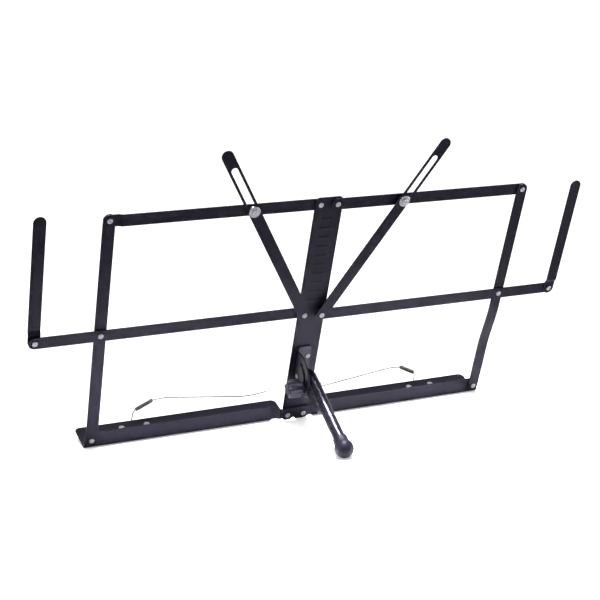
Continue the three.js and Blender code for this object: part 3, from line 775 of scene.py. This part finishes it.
def add_lug(bm, origin, along, up):
    """The thick plate beside the tube that carries the pin and the bolt."""
    flat = lambda v: (v.y, v.z)
    back = 180 - STEM_DOWN
    outline = [flat(origin + along * 4 + up * 4)]
    outline += arc(TILT.y, TILT.z, LUG_RADIUS, back - 30, back + 90, ROUND)
    outline += arc(BOLT.y, BOLT.z, LUG_RADIUS, -100 - STEM_DOWN, -80, ROUND)
    outline += [flat(origin + along * LUG_END - up * 4.4), flat(origin + along * LUG_END + up)]
    holes = [circle(TILT.y, TILT.z, HOLE), circle(BOLT.y, BOLT.z, LUG_BOLT_HOLE)]
    lug = blank(outline, holes, thick=LUG[1] - LUG[0], edge=0.4)
    shape_by(lug, lambda c: Vector(((LUG[0] + LUG[1]) / 2 + c.z, c.x, c.y)))
    mitre(lug, LUG_GAP)
    mesh = bpy.data.meshes.new("lug")
    lug.to_mesh(mesh)
    lug.free()
    bm.from_mesh(mesh)
    bpy.data.meshes.remove(mesh)


def stem_foot():
    """A ball-ended rubber foot with a thin lip over the tube and a faint mould seam."""
    origin, along, up = stem_axis()
    points = [(TO_DESK @ v.co - origin) for v in frame["nodes"]["stem_foot"].data.vertices]
    start = min(p.dot(along) for p in points)
    end = max(p.dot(along) for p in points)
    radius = max(math.hypot(p.x, p.dot(up)) for p in points)
    middle = end - radius
    inner = STEM_RADIUS + 0.3
    lip = inner + 1.1
    neck = math.degrees(math.acos((lip + 0.5) / radius))
    profile = [(inner, start), (lip - 0.35, start), (lip - 0.1, start + 0.12), (lip, start + 0.5)]
    profile += [(lip + 0.06, start + 2.4)]
    profile += [(lip + 0.25, middle - radius * math.sin(math.radians(neck)) - 0.9)]
    for a in spread(-neck, 86, 26):
        ball = radius - 0.14 * math.exp(-((a - 8) / 3.0) ** 2)
        profile.append((ball * math.cos(math.radians(a)), middle + ball * math.sin(math.radians(a))))
    bore = middle - 1.0
    profile += [(0, end), (0, bore), (inner, bore), (inner, start)]
    bm = shape_by(revolve(profile, 72), on_axis(origin, along, up))
    piece("stem_foot_rubber", bm, RUBBER, "stem", ["stem_foot"], sharp=48)


def clamp_bolt():
    """A domed bolt: the head on the tube's far side, the shank through lug, slot and knob."""
    node = "clamp_bolt"
    low, high = desk_box(node)
    radius = (high.z - low.z) / 2
    dome, shank, under = 2.6, 2.2, low.x + 3.2
    turn = [math.radians(a) for a in spread(0, 80, 10)]
    profile = [(radius * math.sin(a), low.x + dome * (1 - math.cos(a))) for a in turn]
    profile += [(radius, low.x + 2.5), (radius, under - 0.2), (radius - 0.2, under), (shank, under)]
    profile += [(shank, high.x), (0, high.x)]
    bm = shape_by(revolve(profile, 48), along_x(BOLT.y, BOLT.z))
    piece("clamp_bolt_black", bm, PAINT, "stem", [node], sharp=45)


def tilt_pin():
    low, high = desk_box("tilt_pin")
    radius = (high.z - low.z) / 2
    tail, head = 2.6, 1.1
    profile = [(0, low.x), (tail - 0.4, low.x), (tail, low.x + 0.4), (tail, low.x + head)]
    profile += [(SHANK, low.x + head), (SHANK, high.x - head)]
    profile += rivet_head(high.x - head, 1, radius, head)
    bm = shape_by(revolve(profile, 40), along_x(TILT.y, TILT.z))
    piece("tilt_pin_turned", bm, ZINC, "plate", ["tilt_pin"], sharp=50)


KNOB_BODY = 14.0                 # where the knob's lobed body begins


def star_knob():
    """A lobed hand knob: each ring of its skin follows the same star, drawn in towards both faces."""
    node = "star_knob"
    low, high = desk_box(node)
    lobes, count, depth = 6, 216, 3.4
    reach = (high.z - low.z) / 2
    face = high.x

    def star(a, grow):
        wave = 0.5 - 0.5 * math.cos(lobes * a)
        return reach - depth * wave ** 0.85 + grow

    hub = [(5.7, low.x), (6.2, low.x + 0.5), (6.2, KNOB_BODY - 0.4), (7.0, KNOB_BODY + 0.1)]
    skin = [(-1.3, KNOB_BODY + 0.3), (-0.55, KNOB_BODY + 0.6), (-0.15, KNOB_BODY + 1.2)]
    skin += [(0, KNOB_BODY + 2.0), (0, KNOB_BODY + 5), (0, face - 6), (-0.05, face - 3.4)]
    skin += [(-0.35, face - 2.0), (-0.95, face - 1.1), (-1.9, face - 0.6), (-2.6, face - 0.5)]
    boss = [(5.2, face - 0.55), (4.9, face - 0.15), (4.3, face)]
    turn = [2 * math.pi * (i + 0.5) / count + 0.3 for i in range(count)]
    rings = [([radius] * count, x) for radius, x in hub]
    rings += [([star(a, grow) for a in turn], x) for grow, x in skin]
    rings += [([radius] * count, x) for radius, x in boss]
    bm = bmesh.new()
    loops = []
    for radii, x in rings:
        loops.append([bm.verts.new((r * math.cos(a), r * math.sin(a), x)) for r, a in zip(radii, turn)])
    for first, second in zip(loops, loops[1:]):
        for i in range(count):
            j = (i + 1) % count
            bm.faces.new((first[i], first[j], second[j], second[i]))
    for loop in (loops[0], loops[-1]):
        bm.faces.new(loop)
    shape_by(bm, along_x(BOLT.y, BOLT.z))
    piece("star_knob_moulding", bm, PLASTIC, "knob", [node], sharp=38)


# ---- the whole desk ----------------------------------------------------------------------------
for half, sign in (("right", 1), ("left", -1)):
    bars(half, sign)
    page_ledge(half, sign)
    fastenings(half)
    wire_clamp(half)
    page_holder(half, sign)
centre_plate()
pivot_strap()
tilt_bracket()
for spacer in ("middle_spacer_front_right", "middle_spacer_back_right", "middle_spacer_back_left"):
    ring(spacer, "plate")
ring("ledge_spacer_left", "plate")
for number in (1, 2):
    rivet(f"bracket_rivet_{number}", "plate")
ring("arm_spacer_right", "middle_bar_right")
tilt_pin()
stem_tube()
stem_foot()
clamp_bolt()
ring("clamp_washer", "stem", hole=LUG_BOLT_HOLE, material=PAINT, axis=0)
star_knob()


# ---- floor, light and camera -------------------------------------------------------------------
def studio_floor():
    """A wide pale sheet with a little glow of its own, so that shadows on it stay faint."""
    bm = bmesh.new()
    half = 30.0
    for x, y in ((-half, -half), (half, -half), (half, half), (-half, half)):
        bm.verts.new((x, y, 0))
    bm.faces.new(bm.verts)
    mesh = bpy.data.meshes.new("studio_floor")
    bm.to_mesh(mesh)
    bm.free()
    floor = bpy.data.objects.new("studio_floor", mesh)
    bpy.context.scene.collection.objects.link(floor)
    look = Shader("pale_floor", Base_Color=(0.95, 0.95, 0.955, 1), Roughness=0.85,
                  Emission_Color=(1, 1, 1, 1), Emission_Strength=0.2)
    mesh.materials.append(look.material)


def softbox(name, place, aim, size, power, tint=(1, 1, 1), beam=180):
    light = bpy.data.lights.new(name, "AREA")
    light.spread = math.radians(beam)
    light.shape = "RECTANGLE"
    light.size, light.size_y = size
    light.energy = power
    light.color = tint
    lamp = bpy.data.objects.new(name, light)
    lamp.location = place
    lamp.rotation_euler = (Vector(aim) - Vector(place)).to_track_quat("-Z", "Y").to_euler()
    lamp.visible_camera = False
    bpy.context.scene.collection.objects.link(lamp)


def studio():
    """Even sky and top light, a strip for the tube, a pool over the desk, a grazing key and a fill."""
    studio_floor()
    world = bpy.data.worlds.new("studio")
    world.use_nodes = True
    background = world.node_tree.nodes["Background"]
    background.inputs["Color"].default_value = (1, 1, 1, 1)
    background.inputs["Strength"].default_value = 0.88
    bpy.context.scene.world = world
    top = bpy.data.lights.new("top", "SUN")
    top.energy = 0.8
    top.angle = math.radians(50)
    lamp = bpy.data.objects.new("top", top)
    bpy.context.scene.collection.objects.link(lamp)
    softbox("strip", (-0.08, -0.05, 1.3), (0, 0.03, 0.05), (0.3, 0.8), 5.5)
    softbox("pool", (0, 0.03, 1.0), (0, 0.03, 0), (0.62, 0.05), 3.7, beam=16)
    softbox("key", (-1.0, 0.42, 0.12), (0, 0, 0.1), (0.3, 0.25), 8, (0.96, 0.93, 1))
    softbox("fill", (1.3, 0.1, 0.4), (0, 0, 0.1), (0.5, 0.5), 8)
    bpy.context.scene.view_settings.view_transform = "Standard"


def camera():
    """The viewpoint, in the desk's own frame: where it stands and its right and down directions."""
    right = Vector((-0.90105, 0.41154, 0.13694))
    down = Vector((0.10273, 0.50925, -0.85447))
    place = Vector((655.6, 1148.2, 907.3))
    turn = TO_ROW.to_3x3().normalized()
    forward = right.cross(down)
    axes = Matrix((turn @ right, turn @ -down, turn @ -forward)).transposed()
    lens = bpy.data.cameras.new("camera")
    lens.sensor_width = 36
    lens.lens = 87.86
    view = bpy.data.objects.new("camera", lens)
    view.matrix_world = Matrix.Translation(TO_ROW @ place) @ axes.to_4x4()
    bpy.context.scene.collection.objects.link(view)
    bpy.context.scene.camera = view


studio()
camera()
